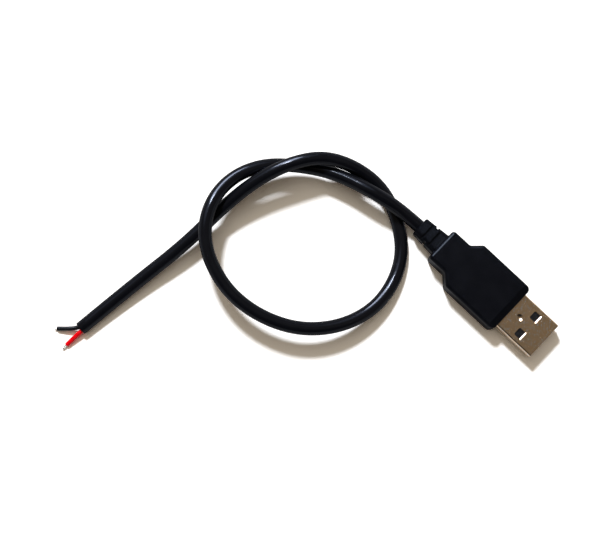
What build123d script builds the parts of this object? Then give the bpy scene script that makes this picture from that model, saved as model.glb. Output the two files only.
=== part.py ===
"""A power pigtail: a plug moulded on one end of a knotted two-core cable, the other end stripped to bare wires.

Millimetres, +Z up. The plug lies level on Z = 0 with its tip towards +X, and the origin is under its middle.
"""
from build123d import *
import math
import os

os.makedirs("parts", exist_ok=True)

# Plug: the metal shell
shell_width = 12.0
shell_height = 4.5
shell_sheet = 0.3
shell_bend = 0.6  # outer radius of the four folds
shell_exposed = 12.5  # in front of the overmould
shell_length = 18.75
seam_gap = 0.1  # where the folded sheet meets itself, underneath
window_length = 2.1
window_width = 2.5
window_corner = 0.45
window_pitch = 6.36  # across the plug, centre to centre
window_from_tip = 5.38  # to the edge nearer the tip
window_ramp = 0.3  # length of the coined slope on that edge
ramp_depth = 0.17
dimple_from_tip = 9.45
dimple_width = 2.0
dimple_depth = 0.3

# Plug: the insulator and its four contacts
insulator_side_gap = 0.1
tongue_thickness = 1.9
tongue_setback = 0.9  # its front edge, behind the shell's
mouth_depth = 11.9
insulator_chamfer = 0.3
contact_width = 1.0
contact_thickness = 0.25
contact_chamfer = 0.08
contact_proud = 0.1
power_contact_y = 3.5
data_contact_y = 1.0
power_setback = 2.0
data_setback = 3.0
tail_length = 3.2  # behind the insulator

# Plug: the overmould with its strain relief
body_width = 16.0
body_thickness = 8.0
body_length = 17.8
shoulder_length = 2.8
neck_length = 6.3
neck_width = 10.5
body_edge = 1.0
front_corner = 1.5
neck_corner = 1.1
shoulder_round = 1.2
nose_length = 2.0  # the slope above and below the shell
nose_drop = 0.6
relief_length = 7.8
relief_root_width = 6.8
relief_root_height = 6.2
relief_tip_width = 5.65
relief_tip_height = 5.4
relief_corner = 1.6
slot_width = 0.7
slot_depth = 0.65
top_slots_from_tip = (2.75, 5.5)
side_slots_from_tip = (4.1,)
bell_mouth = 0.3

# Plug: the inner mould
inner_width = 10.6
inner_height = 5.4
inner_back_width = 7.0
inner_corner = 0.8
inner_length = 17.0

# Cable
cable_width = 3.8
jacket_bore = 2.8
core_width = 1.3
core_offset = 0.7  # each core beside the cable's centre
conductor_width = 0.8
conductor_gap = 0.02  # between the wire and its insulation
jacket_in_plug = 7.0  # straight on from the route's first point
arc_share = 0.45  # of the shorter run, taken up by the arc at each of the route's points
fit_gap = 0.05

# Plug: the cores part behind the contacts, and the wires lie on the outer two contacts' tails
spread_setback = 2.0  # in front of the jacket's end
spread_straight = 3.5  # straight again before the insulation ends
spread_radius = 3.9
sleeve_setback = 0.8  # behind the contacts' tails
wire_setback = 0.6  # behind the insulator
solder_setback = 0.3  # from the tail's end, and from the wire's
solder_overhang = 0.15  # beside the contact
solder_cover = 0.15  # over the wire
solder_round = 0.3

# Route of the cable's centre, from inside the strain relief to the stripped end. It lies in a loose overhand
# knot: over itself at the right, under at the top, over at the left, round the loop, then the other way about.
route = [
    (-18.0, 0.0, 4.0),
    (-26.9, 0.0, 4.0),
    (-36.3, -1.95, 8.9),
    (-50.3, -5.45, 7.0),
    (-60.0, -10.8, 5.4),
    (-67.8, -18.3, 6.6),
    (-71.3, -28.1, 9.4),
    (-69.5, -38.4, 11.4),
    (-62.65, -46.7, 11.6),
    (-51.0, -51.1, 10.4),
    (-38.9, -50.3, 9.6),
    (-27.3, -44.9, 8.6),
    (-19.2, -35.0, 6.4),
    (-16.35, -22.95, 3.8),
    (-20.1, -10.5, 2.1),
    (-28.5, -2.7, 1.9),
    (-38.9, 1.15, 2.5),
    (-48.65, -0.5, 6.8),
    (-56.6, -5.4, 10.1),
    (-62.0, -13.8, 11.2),
    (-65.5, -23.45, 9.5),
    (-67.4, -35.3, 6.6),
    (-67.7, -49.3, 5.4),
    (-70.8, -69.0, 2.8),
    (-72.9, -87.0, 1.9),
]

# Stripped end: how far the cores run on past the jacket, as steps from each core's own centre
red_lead = 2.4  # straight on before it bends
red_reach = (-0.45, -6.0, -0.95)
black_lead = 1.2
black_reach = (-4.3, -4.7, -1.25)
red_bare = 1.6
black_bare = 0.75

# Worked out from the sizes above
plug_length = shell_exposed + body_length + shoulder_length + neck_length + relief_length
tip_x = plug_length / 2
body_front_x = tip_x - shell_exposed
shoulder_front_x = body_front_x - body_length
shoulder_back_x = shoulder_front_x - shoulder_length
body_back_x = shoulder_back_x - neck_length
relief_tip_x = body_back_x - relief_length
shell_back_x = tip_x - shell_length
axis_z = body_thickness / 2
shell_top_z = axis_z + shell_height / 2
shell_floor_z = axis_z - shell_height / 2
window_edge_x = tip_x - window_from_tip
window_centre_x = window_edge_x - window_length / 2
dimple_x = tip_x - dimple_from_tip
insulator_top_z = shell_top_z - shell_sheet - fit_gap
insulator_floor_z = shell_floor_z + shell_sheet + fit_gap
tongue_floor_z = insulator_top_z - tongue_thickness
insulator_width = shell_width - 2 * shell_sheet - 2 * insulator_side_gap
insulator_back_x = shell_back_x
contact_floor_z = tongue_floor_z - contact_proud
contact_top_z = contact_floor_z + contact_thickness
tail_end_x = insulator_back_x - tail_length
inner_front_x = shell_back_x
inner_back_x = inner_front_x - inner_length
jacket_end_x = route[0][0] + jacket_in_plug
sides = {"ground": 1, "vbus": -1}


def box_between(low, high, mode=Mode.ADD):
    """A box from its lowest to its highest corner."""
    size = [b - a for a, b in zip(low, high)]
    middle = [(a + b) / 2 for a, b in zip(low, high)]
    with Locations(tuple(middle)):
        Box(*size, mode=mode)


# Metal shell: one folded sheet
with BuildPart() as shell:
    with BuildSketch(Plane.YZ.offset(shell_back_x)):
        with Locations((0, axis_z)):
            RectangleRounded(shell_width, shell_height, shell_bend)
            RectangleRounded(
                shell_width - 2 * shell_sheet,
                shell_height - 2 * shell_sheet,
                shell_bend - shell_sheet,
                mode=Mode.SUBTRACT,
            )
    extrude(amount=shell_length)
    with Locations((dimple_x, 0, shell_top_z - shell_sheet)):
        Cylinder(
            dimple_width / 2 + shell_sheet / 2,
            dimple_depth,
            align=(Align.CENTER, Align.CENTER, Align.MAX),
        )
    dimple_radius = ((dimple_width / 2) ** 2 + dimple_depth**2) / (2 * dimple_depth)
    with Locations((dimple_x, 0, shell_top_z - dimple_depth + dimple_radius)):
        Sphere(dimple_radius, mode=Mode.SUBTRACT)
    with BuildSketch(Plane.XY.offset(shell_floor_z - shell_sheet)) as windows:
        with Locations((window_centre_x, window_pitch / 2), (window_centre_x, -window_pitch / 2)):
            Rectangle(window_length, window_width)
        fillet(windows.vertices().group_by(Axis.X)[0], window_corner)
    extrude(amount=shell_height + 2 * shell_sheet, mode=Mode.SUBTRACT)
    for wall_z, inward in ((shell_top_z, -1), (shell_floor_z, 1)):
        ramp_z = wall_z + inward * ramp_depth
        for y in (window_pitch / 2, -window_pitch / 2):
            with BuildSketch(Plane.XZ.offset(-y - window_width / 2)):
                with BuildLine():
                    Polyline(
                        (window_edge_x - window_corner, wall_z),
                        (window_edge_x + window_ramp, wall_z),
                        (window_edge_x, ramp_z),
                        (window_edge_x - window_corner, ramp_z),
                        close=True,
                    )
                make_face()
            extrude(amount=window_width, mode=Mode.SUBTRACT)
    box_between(
        (shell_back_x, -seam_gap / 2, shell_floor_z - shell_sheet),
        (tip_x, seam_gap / 2, shell_floor_z + 2 * shell_sheet),
        Mode.SUBTRACT,
    )
shell.part.label = "shell"

# Contacts: four stamped strips, the outer two longer towards the tip
contact_places = {
    "contact_vbus": (sides["vbus"] * power_contact_y, power_setback),
    "contact_data_minus": (sides["vbus"] * data_contact_y, data_setback),
    "contact_data_plus": (sides["ground"] * data_contact_y, data_setback),
    "contact_ground": (sides["ground"] * power_contact_y, power_setback),
}
contacts = {}
for name, (y, setback) in contact_places.items():
    with BuildPart() as contact:
        box_between(
            (tail_end_x, y - contact_width / 2, contact_floor_z),
            (tip_x - setback, y + contact_width / 2, contact_top_z),
        )
        front_edges = contact.edges().filter_by(Axis.Y).group_by(Axis.X)[-1]
        chamfer(front_edges.sort_by(Axis.Z)[0], contact_chamfer)
    contact.part.label = name
    contacts[name] = contact.part

# Insulator: a tongue under the shell's top wall and a block behind the mouth
with BuildPart() as insulator:
    box_between(
        (insulator_back_x, -insulator_width / 2, tongue_floor_z),
        (tip_x - tongue_setback, insulator_width / 2, insulator_top_z),
    )
    chamfer(insulator.edges().filter_by(Axis.Y).group_by(Axis.X)[-1], insulator_chamfer)
    box_between(
        (insulator_back_x, -insulator_width / 2, insulator_floor_z),
        (tip_x - mouth_depth, insulator_width / 2, tongue_floor_z),
    )
    chamfer(insulator.edges().filter_by(Axis.X).group_by(Axis.Z)[0], insulator_chamfer)
    chamfer(insulator.edges().filter_by(Axis.X).group_by(Axis.Z)[-1], insulator_chamfer)
    with Locations((dimple_x, 0, insulator_top_z)):
        Cylinder(
            dimple_width / 2 + shell_sheet / 2 + 2 * fit_gap,
            2 * dimple_depth,
            mode=Mode.SUBTRACT,
        )
    for name, (y, setback) in contact_places.items():
        box_between(
            (insulator_back_x, y - contact_width / 2 - fit_gap, contact_floor_z - fit_gap),
            (tip_x - setback + fit_gap, y + contact_width / 2 + fit_gap, contact_top_z),
            Mode.SUBTRACT,
        )
insulator.part.label = "insulator"

# Cable jacket: a tube along the route, and its straight end inside the plug
points = [Vector(*p) for p in route]
bend_radii = []
for before, at, after in zip(points, points[1:], points[2:]):
    turn = (at - before).get_angle(after - at)
    shorter = min((at - before).length, (after - at).length)
    bend_radii.append(arc_share * shorter / math.tan(math.radians(turn) / 2))
route_start = Plane(origin=points[0], x_dir=(0, 1, 0), z_dir=points[1] - points[0])

with BuildPart() as cable_jacket:
    with BuildLine() as jacket_line:
        FilletPolyline(*points, radius=bend_radii)
    with BuildSketch(route_start):
        Circle(cable_width / 2)
        Circle(jacket_bore / 2, mode=Mode.SUBTRACT)
    sweep()
    swept_volume = cable_jacket.part.volume
    with BuildSketch(route_start):
        Circle(cable_width / 2)
        Circle(jacket_bore / 2, mode=Mode.SUBTRACT)
    extrude(amount=-jacket_in_plug)
cable_jacket.part.label = "cable_jacket"

route_length = sum(edge.length for edge in jacket_line.edges())
ring = math.pi * (cable_width**2 - jacket_bore**2) / 4
print("route length", round(route_length, 1), "bend radii", [round(r, 1) for r in bend_radii])
print("jacket swept volume", round(swept_volume, 2), "section times length", round(ring * route_length, 2))

# Cores: two insulated wires side by side in the bore, spreading to the contacts and to the stripped end
core_level_z = contact_top_z + conductor_width / 2 + fit_gap
insulation_end_x = tail_end_x - sleeve_setback
wire_end_x = insulator_back_x - wire_setback
spread_start_x = jacket_end_x + spread_setback
spread_end_x = insulation_end_x - spread_straight


def swept_core(side, outer, inner, plug_end_x, lead, reach, bare):
    """One core's sleeve or wire: along the cable, then on to its contact and out of the stripped end."""
    core_y = side * core_offset
    with BuildPart() as core:
        with BuildLine():
            FilletPolyline(*points, radius=bend_radii)
        with BuildSketch(route_start):
            with Locations((core_y, 0)):
                Circle(outer / 2)
                if inner:
                    Circle(inner / 2, mode=Mode.SUBTRACT)
        sweep()
        far_face = core.faces().filter_by(GeomType.PLANE).sort_by(Axis.Y)[0]
        far_end = Plane(origin=far_face.center(), z_dir=far_face.normal_at())
        bend_at = far_end.origin + far_end.z_dir * lead
        free_end = far_end.origin + Vector(*reach)
        free_end += (free_end - bend_at).normalized() * bare
        first_run = (bend_at - far_end.origin).length
        free_turn = (bend_at - far_end.origin).get_angle(free_end - bend_at)
        free_radius = 2 * arc_share * first_run / math.tan(math.radians(free_turn) / 2)
        with BuildLine():
            FilletPolyline(far_end.origin, bend_at, free_end, radius=free_radius)
        with BuildSketch(far_end):
            Circle(outer / 2)
            if inner:
                Circle(inner / 2, mode=Mode.SUBTRACT)
        sweep()
        contact_y = side * power_contact_y
        plug_points = [
            Vector(points[0].X, core_y, axis_z),
            Vector(spread_start_x, core_y, axis_z),
            Vector(spread_end_x, contact_y, core_level_z),
            Vector(plug_end_x, contact_y, core_level_z),
        ]
        with BuildLine():
            FilletPolyline(*plug_points, radius=spread_radius)
        with BuildSketch(Plane(origin=plug_points[0], z_dir=(1, 0, 0))):
            Circle(outer / 2)
            if inner:
                Circle(inner / 2, mode=Mode.SUBTRACT)
        sweep()
    return core.part


leads = {
    "red": (sides["vbus"], red_lead, red_reach, red_bare),
    "black": (sides["ground"], black_lead, black_reach, black_bare),
}
insulations = {}
conductors = {}
for colour, (side, lead, reach, bare) in leads.items():
    sleeve_bore = conductor_width + 2 * conductor_gap
    sleeve = swept_core(side, core_width, sleeve_bore, insulation_end_x, lead, reach, 0)
    sleeve.label = colour + "_insulation"
    insulations[colour] = sleeve
    wire = swept_core(side, conductor_width, 0, wire_end_x, lead, reach, bare)
    wire.label = colour + "_conductor"
    conductors[colour] = wire

# Solder: a bead holding each wire on its contact's tail
solder_joints = {}
for net, side in sides.items():
    wire = conductors["red" if net == "vbus" else "black"]
    half_bead = contact_width / 2 + solder_overhang
    bead_top_z = core_level_z + conductor_width / 2 + solder_cover
    with BuildPart() as solder:
        box_between(
            (tail_end_x + solder_setback, side * power_contact_y - half_bead, contact_top_z),
            (wire_end_x - solder_setback, side * power_contact_y + half_bead, bead_top_z),
        )
        fillet(solder.edges().group_by(Axis.Z)[-1], solder_round)
        add(wire, mode=Mode.SUBTRACT)
    solder.part.label = "solder_" + net
    solder_joints[net] = solder.part

# Inner mould: the block that seals the joints and the cable's end behind the shell
with BuildPart() as inner_block:
    with BuildSketch(Plane.XY.offset(axis_z - inner_height / 2)):
        with BuildLine():
            Polyline(
                (inner_front_x, -inner_width / 2),
                (shoulder_front_x, -inner_width / 2),
                (inner_back_x, -inner_back_width / 2),
                (inner_back_x, inner_back_width / 2),
                (shoulder_front_x, inner_width / 2),
                (inner_front_x, inner_width / 2),
                close=True,
            )
        make_face()
    extrude(amount=inner_height)
    fillet(inner_block.edges().filter_by(Axis.Z), inner_corner)

with BuildPart() as inner_mould:
    add(inner_block.part)
    for piece in (*contacts.values(), *solder_joints.values()):
        add(piece, mode=Mode.SUBTRACT)
    for colour in leads:
        add(insulations[colour], mode=Mode.SUBTRACT)
        add(conductors[colour], mode=Mode.SUBTRACT)
    add(cable_jacket.part, mode=Mode.SUBTRACT)
inner_mould.part.label = "inner_mould"


def relief_at(from_tip, root, tip):
    """The strain relief's width or height at a distance from its cable end."""
    return tip + (root - tip) * from_tip / relief_length


# Overmould: the grip, its shoulders and neck, and the slotted strain relief, all one moulding
with BuildPart() as overmould:
    with BuildSketch(Plane.XY):
        with BuildLine():
            Polyline(
                (body_front_x, -body_width / 2),
                (shoulder_front_x, -body_width / 2),
                (shoulder_back_x, -neck_width / 2),
                (body_back_x, -neck_width / 2),
                (body_back_x, neck_width / 2),
                (shoulder_back_x, neck_width / 2),
                (shoulder_front_x, body_width / 2),
                (body_front_x, body_width / 2),
                close=True,
            )
        make_face()
    extrude(amount=body_thickness)
    upright = overmould.edges().filter_by(Axis.Z).group_by(Axis.X)
    fillet(upright[1] + upright[2], shoulder_round)
    fillet(overmould.edges().filter_by(Axis.Z).group_by(Axis.X)[-1], front_corner)
    fillet(overmould.edges().filter_by(Axis.Z).group_by(Axis.X)[0], neck_corner)
    flats = overmould.faces().filter_by(Plane.XY)
    fillet(flats.edges(), body_edge)
    with BuildSketch(Plane.XZ.offset(-body_width)):
        with BuildLine():
            Polyline(
                (body_back_x, 0),
                (body_front_x - nose_length, 0),
                (body_front_x, nose_drop),
                (body_front_x, body_thickness - nose_drop),
                (body_front_x - nose_length, body_thickness),
                (body_back_x, body_thickness),
                close=True,
            )
        make_face()
    extrude(amount=2 * body_width, mode=Mode.INTERSECT)
    with BuildSketch(Plane.YZ.offset(body_back_x)):
        with Locations((0, axis_z)):
            RectangleRounded(relief_root_width, relief_root_height, relief_corner)
    with BuildSketch(Plane.YZ.offset(relief_tip_x)):
        with Locations((0, axis_z)):
            RectangleRounded(relief_tip_width, relief_tip_height, relief_corner)
    loft()
    for from_tip in top_slots_from_tip:
        half = relief_at(from_tip, relief_root_height, relief_tip_height) / 2
        for side in (-1, 1):
            with Locations((relief_tip_x + from_tip, 0, axis_z + side * half)):
                Box(slot_width, relief_root_width, 2 * slot_depth, mode=Mode.SUBTRACT)
    for from_tip in side_slots_from_tip:
        half = relief_at(from_tip, relief_root_width, relief_tip_width) / 2
        for side in (-1, 1):
            with Locations((relief_tip_x + from_tip, side * half, axis_z)):
                Box(slot_width, 2 * slot_depth, relief_root_height, mode=Mode.SUBTRACT)
    with BuildSketch(Plane.YZ.offset(shell_back_x)):
        with Locations((0, axis_z)):
            RectangleRounded(shell_width, shell_height, shell_bend)
    extrude(amount=body_front_x - shell_back_x, mode=Mode.SUBTRACT)
    add(inner_block.part, mode=Mode.SUBTRACT)
    with BuildSketch(Plane.YZ.offset(relief_tip_x)):
        with Locations((0, axis_z)):
            Circle(cable_width / 2 + fit_gap)
    extrude(amount=inner_back_x - relief_tip_x, mode=Mode.SUBTRACT)
    mouth_edge = overmould.edges().filter_by(GeomType.CIRCLE).group_by(Axis.X)[0]
    chamfer(mouth_edge.sort_by(SortBy.RADIUS)[0], bell_mouth)
overmould.part.label = "overmould"

pieces = [shell.part, insulator.part, inner_mould.part, overmould.part, cable_jacket.part]
pieces += [*contacts.values(), *solder_joints.values(), *insulations.values(), *conductors.values()]
for piece in pieces:
    export_step(piece, "parts/" + piece.label + ".step")
    print(piece.label, round(piece.volume, 1), piece.is_valid)
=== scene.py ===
"""The visible power pigtail: jacket, cores and bare strands, with finishes on the plug's pieces."""

import bmesh
import bpy
import math
import random
from mathutils import Matrix, Vector


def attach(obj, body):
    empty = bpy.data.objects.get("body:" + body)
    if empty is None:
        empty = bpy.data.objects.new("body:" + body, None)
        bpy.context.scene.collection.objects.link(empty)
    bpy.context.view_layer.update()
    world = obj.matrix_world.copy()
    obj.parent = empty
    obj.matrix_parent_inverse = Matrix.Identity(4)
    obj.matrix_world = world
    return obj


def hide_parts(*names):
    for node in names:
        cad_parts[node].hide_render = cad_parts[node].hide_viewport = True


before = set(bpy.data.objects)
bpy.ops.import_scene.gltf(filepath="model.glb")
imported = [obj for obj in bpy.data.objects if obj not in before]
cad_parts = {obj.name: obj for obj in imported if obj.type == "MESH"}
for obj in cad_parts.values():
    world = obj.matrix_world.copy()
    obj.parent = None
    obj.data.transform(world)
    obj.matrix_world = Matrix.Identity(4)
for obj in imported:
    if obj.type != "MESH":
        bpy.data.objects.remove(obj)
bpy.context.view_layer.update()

MM = 0.001
ACROSS = Vector((0, 1, 0))  # across the plug, from core to core

# The cable
CABLE_WIDTH = 3.8 * MM
JACKET_BORE = 2.8 * MM
CORE_WIDTH = 1.3 * MM
CORE_OFFSET = 0.7 * MM  # from the cable's centre to a core's
CORE_BORE = 0.84 * MM
WIRE_WIDTH = 0.8 * MM
STRAND_COUNT = 7
STRAND_WIDTH = WIRE_WIDTH / 3
STRAND_LAY = 7.0 * MM  # length of one turn of the strands
RELIEF_EXIT = (-0.0236, 0.0, 0.004)

# Route of the cable's centre in metres, from inside the strain relief to the stripped end
ROUTE = [
    (-0.0180, 0.0, 0.0040),
    (-0.0269, 0.0, 0.0040),
    (-0.0363, -0.00195, 0.0089),
    (-0.05042, -0.00538, 0.0065),
    (-0.0600, -0.01085, 0.0053),
    (-0.0677, -0.0184, 0.0076),
    (-0.0713, -0.0281, 0.0094),
    (-0.0695, -0.0384, 0.0114),
    (-0.06265, -0.0467, 0.0116),
    (-0.0510, -0.0511, 0.0104),
    (-0.0389, -0.0503, 0.0096),
    (-0.0273, -0.0449, 0.0086),
    (-0.0192, -0.0350, 0.0064),
    (-0.01635, -0.02295, 0.0038),
    (-0.0201, -0.0105, 0.0021),
    (-0.0287, -0.00275, 0.0019),
    (-0.0388, 0.00105, 0.0032),
    (-0.0485, -0.00065, 0.0073),
    (-0.0566, -0.0054, 0.0102),
    (-0.0620, -0.0138, 0.0112),
    (-0.0655, -0.02345, 0.0095),
    (-0.0674, -0.0353, 0.0066),
    (-0.0677, -0.0493, 0.0054),
    (-0.0708, -0.0690, 0.0028),
    (-0.0729, -0.0870, 0.0019),
]
JACKET_IN_PLUG = 7.0 * MM  # straight on from the route's first point

# Plug ends of the cores, where they lie on the outer contacts' tails
CORE_LEVEL = 4.6 * MM
CONTACT_Y = 3.5 * MM
SPREAD_FROM = -9.0 * MM  # where they part
SPREAD_TO = -2.65 * MM  # and where they reach the tails
SLEEVE_END = 0.85 * MM
WIRE_END = 4.25 * MM

# Stripped end: each core's side, its length straight on before it bends, its reach and its bare length
LEADS = {
    "red": (-1, 2.4 * MM, (-0.00045, -0.0060, -0.00095), 1.6 * MM),
    "black": (1, 1.2 * MM, (-0.0043, -0.0047, -0.00125), 0.75 * MM),
}

# How finely the cable is made
RUN_STEPS = 24  # points that a smooth line gets for each run of its route
STUB_STEPS = 4  # points for the jacket's stub in the plug
JACKET_SIDES = 40
SLEEVE_SIDES = 20
STRAND_SIDES = 8
HIDDEN_STEP = 1.4 * MM  # between a strand's rings, up to its last part
SHOWN_STEP = 0.12 * MM  # and in its last part, which shows
SHOWN_LENGTH = 3.0 * MM

# Cut ends
JACKET_LIP = 0.08 * MM  # rounding of a cut's edges
SLEEVE_LIP = 0.05 * MM
CUT_WANDER = 0.03 * MM
CUT_WAVES = (2, 3, 5, 8)  # waves round a cut that make it ragged
TIP_REACH, TIP_RADIUS = 0.2, 0.3  # a strand's bevelled tip, in strand widths
JACKET_SEED = 1
SLEEVE_SEED = 7
STRANDS_SEED = 17

# Camera, from the photograph's own perspective, with its sensor and lens in millimetres
SENSOR_WIDTH = 36.0
FOCAL_LENGTH = 72.36
CAMERA_PLACE = Vector((-0.0097, -0.0634, 0.342))
LOOK_POINT = Vector((-0.03955, -0.03213, 0.0))
PHOTO_UP = Vector((-0.691, 0.723, 0.0))
PHOTO_RIGHT = Vector((0.723, 0.691, 0.0))


def photo_place(right, up, height):
    """A place by its distances right and up from the middle of the photograph's floor."""
    return LOOK_POINT + PHOTO_RIGHT * right + PHOTO_UP * up + Vector((0, 0, height))


# Reflections on vinyl, which gets rougher where it turns away from the eye
SHEEN_LEVEL = 0.008
RIM_ROUGHNESS = 0.6
RIM_START, RIM_WHOLE = 0.60, 0.92  # how far turned away the rim begins and is whole

# Floor, as it lights the object and as it is seen, which is white in the photograph
FLOOR_HALF_SIZE = 0.33
FLOOR_COLOUR = (0.80, 0.79, 0.78)
SEEN_FLOOR_COLOUR = (1.34, 1.33, 1.32)

# The lamp whose shadows are in the photograph
KEY_PLACE = photo_place(-0.294, 0.870, 1.28)
KEY_SIZE = 0.24
KEY_POWER = 26.5
KEY_COLOUR = (0.93, 0.96, 1.0)

# The room, as it lights the object and as it is seen, where a white horizon fades out between two heights
FILL_COLOUR = (0.070, 0.050, 0.032)
ROOM_COLOUR = (0.30, 0.25, 0.19)
HORIZON_COLOUR = (1.0, 1.0, 1.0)
HORIZON_TOP, HORIZON_GONE = 0.22, 0.40

# Round patches of the room: each one's colour, a place that it lies towards, and the cosines of the angles
# from there where it begins and is whole
SKY_PATCH = ((1.16, 1.03, 0.84), photo_place(-0.05, 0.22, 1.0), 0.78, 0.97)
SHADE_PATCH = ((0.02, 0.017, 0.014), photo_place(0.0, -1.2, 0.85), 0.62, 0.78)
GLOW_PATCH = ((1.9, 2.05, 2.4), photo_place(-0.30, 0.90, 1.0), 0.86, 0.95)
WINDOW_PATCH = ((36.0, 38.0, 43.0), photo_place(-0.40, 1.20, 1.0), 0.965, 0.982)


# Lines and tubes


def smooth_line(name, places):
    """Points in order along the NURBS line that these places control."""
    curve = bpy.data.curves.new(name, "CURVE")
    curve.dimensions = "3D"
    curve.resolution_u = RUN_STEPS
    spline = curve.splines.new("NURBS")
    spline.points.add(len(places) - 1)
    for point, place in zip(spline.points, places):
        point.co = (*place, 1.0)
    spline.order_u = 3
    spline.use_endpoint_u = True
    holder = bpy.data.objects.new(name, curve)
    bpy.context.collection.objects.link(holder)
    mesh = bpy.data.meshes.new_from_object(holder.evaluated_get(bpy.context.evaluated_depsgraph_get()))
    points = [vertex.co.copy() for vertex in mesh.vertices]
    bpy.data.objects.remove(holder)
    bpy.data.curves.remove(curve)
    bpy.data.meshes.remove(mesh)
    return points


def length_of(points):
    """The line's length."""
    return sum((b - a).length for a, b in zip(points, points[1:]))


def directions(points):
    """The line's direction at each of its points."""
    ahead = points[1:] + [points[-1] * 2 - points[-2]]
    behind = [points[0] * 2 - points[1]] + points[:-1]
    return [(b - a).normalized() for a, b in zip(behind, ahead)]


def carried_frames(points):
    """At each point of a line, two unit vectors square to it, carried along from ACROSS without twisting."""
    headings = directions(points)
    side = (ACROSS - headings[0] * ACROSS.dot(headings[0])).normalized()
    frames = []
    for index, heading in enumerate(headings):
        if index:
            side = headings[index - 1].rotation_difference(heading) @ side
            side = (side - heading * side.dot(heading)).normalized()
        frames.append((side, heading.cross(side)))
    return frames


def trimmed(points, from_start, from_end):
    """The line without these lengths at its ends."""
    for cut in (from_end, from_start):
        points = points[::-1]
        while (points[1] - points[0]).length < cut:
            cut -= (points[1] - points[0]).length
            points = points[1:]
        points = [points[0].lerp(points[1], cut / (points[1] - points[0]).length)] + points[1:]
    return points


def resampled(points, places):
    """The line's points at these distances from its start."""
    found, walked, index = [], 0.0, 0
    for place in places:
        step = (points[index + 1] - points[index]).length
        while walked + step < place and index < len(points) - 2:
            walked += step
            index += 1
            step = (points[index + 1] - points[index]).length
        found.append(points[index].lerp(points[index + 1], (place - walked) / step))
    return found


def spoke(axes, angle):
    """The unit vector that points out of a line at this angle round it."""
    return axes[0] * math.cos(angle) + axes[1] * math.sin(angle)


def ring_at(centre, axes, radius, sides):
    """A ring of places round centre."""
    return [centre + spoke(axes, 2 * math.pi * i / sides) * radius for i in range(sides)]


def add_rings(mesh, rings, capped=False):
    """Joins rings of places into a skin, in mesh, with or without caps."""
    rows = [[mesh.verts.new(place) for place in ring] for ring in rings]
    for row, after in zip(rows, rows[1:]):
        for i in range(len(row)):
            j = (i + 1) % len(row)
            mesh.faces.new((row[i], row[j], after[j], after[i]))
    if capped:
        mesh.faces.new(reversed(rows[0]))
        mesh.faces.new(rows[-1])


def finished_piece(name, mesh):
    """A smooth-shaded object with the mesh, riding on the part."""
    bmesh.ops.recalc_face_normals(mesh, faces=mesh.faces)
    data = bpy.data.meshes.new(name)
    mesh.to_mesh(data)
    mesh.free()
    for face in data.polygons:
        face.use_smooth = True
    piece = bpy.data.objects.new(name, data)
    bpy.context.collection.objects.link(piece)
    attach(piece, "root")
    return piece


def hollow_tube(name, points, outer, bore, lip, sides, seed):
    """A tube with a bore, whose cut ends have rounded and slightly ragged lips."""
    frames = carried_frames(points)
    headings = directions(points)
    chance = random.Random(seed)
    waves = [(k, chance.uniform(0, 2 * math.pi), chance.uniform(0.3, 1.0) / k) for k in CUT_WAVES]

    def wander(angle):
        """How far a cut lies off its plane at this angle round it."""
        return sum(size * math.sin(k * angle + phase) for k, phase, size in waves) * CUT_WANDER

    def lip_rings(end, heading):
        """Rings at an end, from the bore over the cut's rounded edges to the outside."""
        arc = 0.3 * lip  # how far the middle of a rounding lies from the faces beside it
        steps = [
            (bore / 2, lip),
            (bore / 2 + arc, arc),
            (bore / 2 + lip, 0),
            (outer / 2 - lip, 0),
            (outer / 2 - arc, arc),
            (outer / 2, lip),
        ]
        rings = []
        for radius, back in steps:
            ring = ring_at(points[end] - heading * back, frames[end], radius, sides)
            rings.append([place + heading * wander(2 * math.pi * i / sides) for i, place in enumerate(ring)])
        return rings

    start, end = lip_rings(0, -headings[0]), lip_rings(-1, headings[-1])
    middle = range(2, len(points) - 2)
    skin = [ring_at(points[i], frames[i], outer / 2, sides) for i in middle]
    wall = [ring_at(points[i], frames[i], bore / 2, sides) for i in middle]
    mesh = bmesh.new()
    add_rings(mesh, start + skin + end[::-1] + wall[::-1] + [start[0]])
    bmesh.ops.remove_doubles(mesh, verts=mesh.verts, dist=1e-7)
    return finished_piece(name, mesh)


# Pieces of the cable


def make_jacket(line):
    """The cable's jacket: a tube with a cut end, that stands for the whole free cable."""
    jacket = hollow_tube("jacket", line, CABLE_WIDTH, JACKET_BORE, JACKET_LIP, JACKET_SIDES, JACKET_SEED)
    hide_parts("cable_jacket")
    jacket.data.materials.append(jacket_finish())
    return jacket


def core_line(colour, line, frames):
    """A core's centre, from its contact through the jacket to its bare wire's end."""
    side, lead, reach, bare = LEADS[colour]
    beside = side * CORE_OFFSET
    plug_end = smooth_line(
        colour + "_plug_end",
        [
            (WIRE_END, side * CONTACT_Y, CORE_LEVEL),
            (SPREAD_TO, side * CONTACT_Y, CORE_LEVEL),
            (SPREAD_FROM, beside, RELIEF_EXIT[2]),
            (line[0].x, beside, RELIEF_EXIT[2]),
        ],
    )
    inside = [point + axes[0] * beside for point, axes in zip(line, frames)]
    bend = inside[-1] + directions(line)[-1] * lead
    tip = inside[-1] + Vector(reach)
    tip += (tip - bend).normalized() * bare
    free_end = smooth_line(colour + "_free_end", [inside[-1], bend, tip])
    return plug_end[:-1] + inside + free_end[1:]


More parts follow.
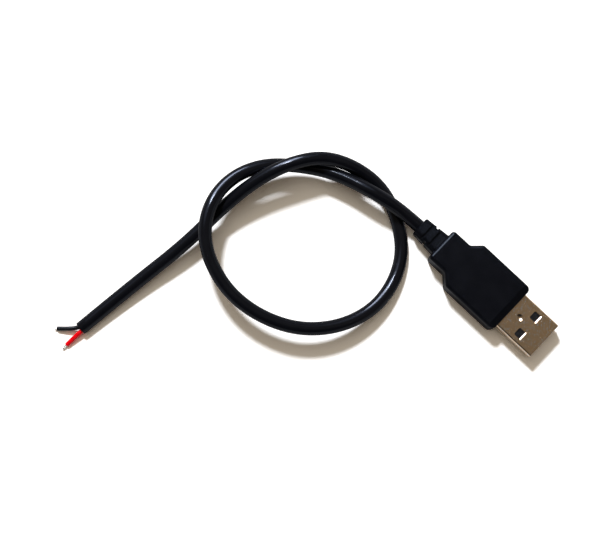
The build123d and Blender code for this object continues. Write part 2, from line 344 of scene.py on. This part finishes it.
def make_core(colour, line, frames):
    """A core: its insulation, and the bundle of strands in it that shows where it is bare."""
    side, _, _, bare = LEADS[colour]
    centre = core_line(colour, line, frames)
    sleeve_line = trimmed(centre, WIRE_END - SLEEVE_END, bare)
    seed = SLEEVE_SEED + side
    sleeve = hollow_tube(
        colour + "_sleeve", sleeve_line, CORE_WIDTH, CORE_BORE, SLEEVE_LIP, SLEEVE_SIDES, seed
    )
    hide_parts(colour + "_insulation")
    sleeve.data.materials.append(sleeve_finish(colour))
    strands = make_strands(colour, centre, STRANDS_SEED + side)
    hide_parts(colour + "_conductor")
    strands.data.materials.append(tinned_finish())
    return [sleeve, strands]


def make_strands(colour, centre, seed):
    """Tinned strands twisted together, one in the middle and the rest round it."""
    chance = random.Random(seed)
    first_part = length_of(centre) - SHOWN_LENGTH
    hidden = int(first_part / HIDDEN_STEP)
    shown = int(SHOWN_LENGTH / SHOWN_STEP)
    places = [first_part * i / hidden for i in range(hidden)]
    places += [first_part + SHOWN_LENGTH * i / shown for i in range(shown + 1)]
    spine = resampled(centre, places)
    frames = carried_frames(spine)
    mesh = bmesh.new()
    for strand in range(STRAND_COUNT):
        around = 0.0 if strand == 0 else STRAND_WIDTH
        start_angle = 2 * math.pi * strand / (STRAND_COUNT - 1)
        kept = len(places) - (0 if strand == 0 else chance.randint(0, 1))
        path = [
            point + spoke(axes, start_angle + 2 * math.pi * place / STRAND_LAY) * around
            for place, point, axes in zip(places[:kept], spine, frames)
        ]
        path_frames = carried_frames(path)
        rings = [ring_at(p, a, STRAND_WIDTH / 2, STRAND_SIDES) for p, a in zip(path, path_frames)]
        tip = path[-1] + directions(path)[-1] * STRAND_WIDTH * TIP_REACH
        rings.append(ring_at(tip, path_frames[-1], STRAND_WIDTH * TIP_RADIUS, STRAND_SIDES))
        add_rings(mesh, rings, capped=True)
    return finished_piece(colour + "_strands", mesh)


# Finishes


class Graph:
    """A tree of shader nodes that is being built."""

    def __init__(self, tree):
        self.nodes = tree.nodes
        self.links = tree.links

    def add(self, kind, operation=None):
        """A new node, set to its operation if it has one."""
        node = self.nodes.new("ShaderNode" + kind)
        if operation:
            node.operation = operation
        return node

    def feed(self, socket, value):
        """Gives a socket a number, a colour or another node's output."""
        if isinstance(value, bpy.types.NodeSocket):
            self.links.new(value, socket)
        elif isinstance(value, tuple):
            socket.default_value = (*value, 1.0)
        else:
            socket.default_value = value

    def ranged(self, value, low, high, from_low=0.3, from_high=0.7):
        """Value mapped to low to high."""
        span = self.add("MapRange")
        self.feed(span.inputs["From Min"], from_low)
        self.feed(span.inputs["From Max"], from_high)
        self.feed(span.inputs["To Min"], low)
        self.feed(span.inputs["To Max"], high)
        self.feed(span.inputs["Value"], value)
        return span.outputs["Result"]

    def blended(self, value, first, second, from_low=0.3, from_high=0.7):
        """A colour between first and second, by value."""
        mix = self.add("Mix")
        mix.data_type = "RGBA"
        self.feed(mix.inputs[0], self.ranged(value, 0.0, 1.0, from_low, from_high))
        self.feed(mix.inputs[6], first)
        self.feed(mix.inputs[7], second)
        return mix.outputs[2]

    def larger(self, first, second):
        """The larger of two values."""
        choice = self.add("Math", "MAXIMUM")
        self.feed(choice.inputs[0], first)
        self.feed(choice.inputs[1], second)
        return choice.outputs[0]

    def split_by_sight(self, unseen, seen, output):
        """Lights the scene with the unseen shader, and shows the other to the camera and in mirrors."""
        path = self.add("LightPath")
        sight = path.outputs["Is Camera Ray"]
        for name in ("Is Glossy Ray", "Is Transmission Ray"):
            sight = self.larger(sight, path.outputs[name])
        mix = self.add("MixShader")
        self.feed(mix.inputs[0], sight)
        self.feed(mix.inputs[1], unseen.outputs[0])
        self.feed(mix.inputs[2], seen.outputs[0])
        self.feed(self.nodes[output].inputs["Surface"], mix.outputs[0])


class Finish(Graph):
    """A procedural material, with patterns that are as large as they are on the object."""

    def __init__(self, name):
        self.material = bpy.data.materials.new(name)
        self.material.use_nodes = True
        super().__init__(self.material.node_tree)
        self.place = self.add("TexCoord").outputs["Object"]

    def use(self, name, value):
        """Gives one of the Principled shader's inputs its value."""
        self.feed(self.nodes["Principled BSDF"].inputs[name], value)

    def noise(self, grain, detail=2.0, roughness=0.5, stretch=(1, 1, 1)):
        """Noise whose features are about as large as grain, in metres."""
        mapping = self.add("Mapping")
        self.feed(mapping.inputs["Scale"], [1 / (grain * s) for s in stretch])
        self.feed(mapping.inputs["Vector"], self.place)
        texture = self.add("TexNoise")
        self.feed(texture.inputs["Scale"], 1.0)
        self.feed(texture.inputs["Detail"], detail)
        self.feed(texture.inputs["Roughness"], roughness)
        self.feed(texture.inputs["Vector"], mapping.outputs["Vector"])
        return texture.outputs["Fac"]

    def duller_rim(self, roughness):
        """Roughness that grows where the surface turns away from the eye."""
        facing = self.add("LayerWeight")
        self.feed(facing.inputs["Blend"], 0.5)
        turned = self.ranged(facing.outputs["Facing"], 0.0, RIM_ROUGHNESS, RIM_START, RIM_WHOLE)
        return self.larger(roughness, turned)

    def soft_sheen(self, roughness, tint):
        """A vinyl's reflection: a low level with a large tint, so that the rims don't turn light."""
        self.use("Roughness", self.duller_rim(roughness))
        self.use("Specular IOR Level", SHEEN_LEVEL)
        self.use("Specular Tint", tint)

    def relief(self, *layers):
        """Layers of relief, each a value and its depth in metres."""
        normal = None
        for value, depth in layers:
            bump = self.add("Bump")
            self.feed(bump.inputs["Strength"], 1.0)
            self.feed(bump.inputs["Distance"], depth)
            self.feed(bump.inputs["Height"], value)
            if normal:
                self.feed(bump.inputs["Normal"], normal)
            normal = bump.outputs["Normal"]
        self.use("Normal", normal)


def jacket_finish():
    """Black vinyl, drawn smooth and glossy, with a faint wander along it."""
    vinyl = Finish("black_vinyl_jacket")
    patches = vinyl.noise(5.0 * MM, 3.0)
    grain = vinyl.noise(0.3 * MM, 3.0)
    vinyl.use("Base Color", vinyl.blended(patches, (0.0034, 0.0038, 0.0056), (0.0046, 0.0050, 0.0070)))
    vinyl.soft_sheen(vinyl.ranged(patches, 0.09, 0.14), (14.0, 15.0, 17.5))
    vinyl.relief((grain, 0.0010 * MM), (patches, 0.02 * MM))
    return vinyl.material


def sleeve_finish(colour):
    """Thin-wall vinyl on a core."""
    vinyl = Finish(colour + "_vinyl")
    dark, light = {
        "red": ((0.74, 0.0, 0.004), (0.86, 0.001, 0.010)),
        "black": ((0.0015, 0.002, 0.0035), (0.003, 0.0035, 0.006)),
    }[colour]
    patches = vinyl.noise(1.5 * MM, 3.0)
    vinyl.use("Base Color", vinyl.blended(patches, dark, light))
    vinyl.use("Roughness", vinyl.ranged(patches, 0.26, 0.36))
    vinyl.use("Specular IOR Level", 0.16)
    vinyl.relief((vinyl.noise(0.2 * MM), 0.003 * MM))
    return vinyl.material


def tinned_finish():
    """Tinned copper: pale grey, with warmer copper where the tin is thin."""
    tin = Finish("tinned_copper")
    patches = tin.noise(0.5 * MM, 4.0)
    tin.use("Base Color", tin.blended(patches, (0.60, 0.56, 0.50), (0.80, 0.78, 0.74)))
    tin.use("Metallic", 1.0)
    tin.use("Roughness", tin.ranged(patches, 0.32, 0.5))
    tin.relief((tin.noise(0.1 * MM), 0.006 * MM))
    return tin.material


def overmould_finish():
    """Black moulded vinyl with a fine spark-eroded grain."""
    vinyl = Finish("black_moulded_vinyl")
    patches = vinyl.noise(3.0 * MM, 3.0)
    grain = vinyl.noise(0.12 * MM, 3.0, 0.6)
    vinyl.use("Base Color", vinyl.blended(patches, (0.0018, 0.0020, 0.0034), (0.0028, 0.0030, 0.0044)))
    vinyl.soft_sheen(vinyl.ranged(patches, 0.28, 0.33), (7.5, 8.5, 10.0))
    vinyl.relief((grain, 0.003 * MM))
    return vinyl.material


def shell_finish():
    """Nickel plate on folded steel: warm grey-brown, with dull grey specks and fine rolling marks."""
    plate = Finish("nickel_plated_shell")
    mottle = plate.noise(5.0 * MM, 3.0)
    cloud = plate.noise(0.5 * MM, 4.0, 0.7)
    specks = plate.noise(0.36 * MM, 1.0)
    rolling = plate.noise(0.06 * MM, stretch=(30, 1, 1))
    warm = plate.blended(mottle, (0.40, 0.31, 0.215), (0.46, 0.345, 0.225))
    clouded = plate.blended(cloud, warm, (0.50, 0.39, 0.28), 0.35, 1.1)
    plate.use("Base Color", plate.blended(specks, clouded, (0.43, 0.45, 0.49), 0.57, 0.69))
    plate.use("Metallic", 1.0)
    plate.use("Roughness", plate.ranged(cloud, 0.17, 0.25))
    plate.relief((rolling, 0.0006 * MM), (specks, 0.0004 * MM))
    return plate.material


def insert_finish():
    """Black glass-filled plastic of the insert."""
    plastic = Finish("black_insert_plastic")
    patches = plastic.noise(0.8 * MM, 3.0)
    plastic.use("Base Color", plastic.blended(patches, (0.0025, 0.0025, 0.003), (0.005, 0.005, 0.006)))
    plastic.use("Roughness", plastic.ranged(patches, 0.42, 0.6))
    plastic.use("Specular IOR Level", 0.12)
    plastic.relief((plastic.noise(0.08 * MM), 0.003 * MM))
    return plastic.material


def contact_finish():
    """Gold-flashed contact metal with faint drawn lines along it."""
    gold = Finish("gold_flashed_contact")
    drawn = gold.noise(0.05 * MM, stretch=(40, 1, 1))
    patches = gold.noise(0.9 * MM, 3.0)
    gold.use("Base Color", gold.blended(patches, (0.78, 0.56, 0.26), (0.90, 0.70, 0.38)))
    gold.use("Metallic", 1.0)
    gold.use("Roughness", gold.ranged(patches, 0.16, 0.28))
    gold.relief((drawn, 0.001 * MM))
    return gold.material


def solder_finish():
    """Solder: silver grey, slightly frosted."""
    solder = Finish("solder")
    patches = solder.noise(0.4 * MM, 4.0)
    solder.use("Base Color", solder.blended(patches, (0.58, 0.58, 0.57), (0.74, 0.74, 0.73)))
    solder.use("Metallic", 1.0)
    solder.use("Roughness", solder.ranged(patches, 0.25, 0.45))
    solder.relief((patches, 0.02 * MM))
    return solder.material


def inner_finish():
    """Milky polythene of the inner mould."""
    polythene = Finish("milky_inner_mould")
    patches = polythene.noise(2.0 * MM, 3.0)
    polythene.use("Base Color", polythene.blended(patches, (0.66, 0.65, 0.60), (0.78, 0.77, 0.72)))
    polythene.use("Roughness", polythene.ranged(patches, 0.40, 0.55))
    polythene.relief((polythene.noise(0.3 * MM), 0.01 * MM))
    return polythene.material


def finish_carried_nodes():
    """Finishes on the pieces that stay as the frame has them."""
    contact, solder = contact_finish(), solder_finish()
    finishes = {
        "shell": shell_finish(),
        "insulator": insert_finish(),
        "inner_mould": inner_finish(),
        "overmould": overmould_finish(),
        "solder_vbus": solder,
        "solder_ground": solder,
        "contact_vbus": contact,
        "contact_data_minus": contact,
        "contact_data_plus": contact,
        "contact_ground": contact,
    }
    for node, finish in finishes.items():
        piece = bpy.data.objects[node]
        if not piece.data.materials:
            piece.data.materials.append(finish)
        for slot in piece.material_slots:
            slot.material = finish


# Surroundings


def aim(thing, target, upwards=Vector((0, 0, 1))):
    """Turns a camera or lamp so that it looks at target."""
    back = (thing.location - target).normalized()
    side = upwards.cross(back).normalized()
    thing.rotation_euler = Matrix((side, back.cross(side), back)).transposed().to_euler()


def make_camera():
    """The camera, where the photograph's was."""
    data = bpy.data.cameras.new("camera")
    data.lens = FOCAL_LENGTH
    data.sensor_width = SENSOR_WIDTH
    data.sensor_fit = "HORIZONTAL"
    data.clip_start = 0.005
    camera = bpy.data.objects.new("camera", data)
    bpy.context.collection.objects.link(camera)
    camera.location = CAMERA_PLACE
    aim(camera, LOOK_POINT, PHOTO_UP)
    bpy.context.scene.camera = camera


def make_floor():
    """A white floor that takes the shadows."""
    mesh = bmesh.new()
    bmesh.ops.create_grid(mesh, x_segments=1, y_segments=1, size=FLOOR_HALF_SIZE)
    data = bpy.data.meshes.new("floor")
    mesh.to_mesh(data)
    mesh.free()
    floor = bpy.data.objects.new("floor", data)
    bpy.context.collection.objects.link(floor)
    floor.location = (LOOK_POINT.x, LOOK_POINT.y, 0)
    material = bpy.data.materials.new("floor")
    material.use_nodes = True
    graph = Graph(material.node_tree)
    graph.nodes.remove(graph.nodes["Principled BSDF"])
    plain, seen = graph.add("BsdfDiffuse"), graph.add("BsdfDiffuse")
    graph.feed(plain.inputs["Color"], FLOOR_COLOUR)
    graph.feed(seen.inputs["Color"], SEEN_FLOOR_COLOUR)
    graph.split_by_sight(plain, seen, "Material Output")
    data.materials.append(material)


def make_world():
    """A dim warm room. Its sky fills the shadows, and its shade, glow and window show in reflections."""
    world = bpy.data.worlds.new("world")
    bpy.context.scene.world = world
    world.use_nodes = True
    graph = Graph(world.node_tree)
    heading = graph.add("TexCoord").outputs["Generated"]

    def patched(colour, patch):
        """The colour with a round patch on it."""
        glow, place, edge, whole = patch
        nearness = graph.add("VectorMath", "DOT_PRODUCT")
        graph.feed(nearness.inputs[0], heading)
        graph.feed(nearness.inputs[1], (place - LOOK_POINT).normalized())
        return graph.blended(nearness.outputs["Value"], colour, glow, edge, whole)

    fill = graph.nodes["Background"]
    graph.feed(fill.inputs["Color"], patched(FILL_COLOUR, SKY_PATCH))
    seen = graph.add("Background")
    split = graph.add("SeparateXYZ")
    graph.feed(split.inputs[0], heading)
    room = patched(ROOM_COLOUR, SHADE_PATCH)
    room = graph.blended(split.outputs["Z"], HORIZON_COLOUR, room, HORIZON_TOP, HORIZON_GONE)
    graph.feed(seen.inputs["Color"], patched(patched(room, GLOW_PATCH), WINDOW_PATCH))
    graph.split_by_sight(fill, seen, "World Output")


def make_key_lamp():
    """The lamp that casts the shadows."""
    data = bpy.data.lights.new("key", "AREA")
    data.shape = "DISK"
    data.size = KEY_SIZE
    data.energy = KEY_POWER
    data.color = KEY_COLOUR
    lamp = bpy.data.objects.new("key", data)
    bpy.context.collection.objects.link(lamp)
    lamp.location = KEY_PLACE
    aim(lamp, LOOK_POINT)


make_camera()
route_line = smooth_line("route", ROUTE)
route_frames = carried_frames(route_line)
stub_lengths = [JACKET_IN_PLUG * (STUB_STEPS - i) / STUB_STEPS for i in range(STUB_STEPS)]
jacket_line = [route_line[0] + Vector((length, 0, 0)) for length in stub_lengths] + route_line
jacket = make_jacket(jacket_line)
cores = [piece for colour in LEADS for piece in make_core(colour, route_line, route_frames)]
finish_carried_nodes()
make_floor()
make_world()
make_key_lamp()
bpy.context.scene.view_settings.view_transform = "Standard"
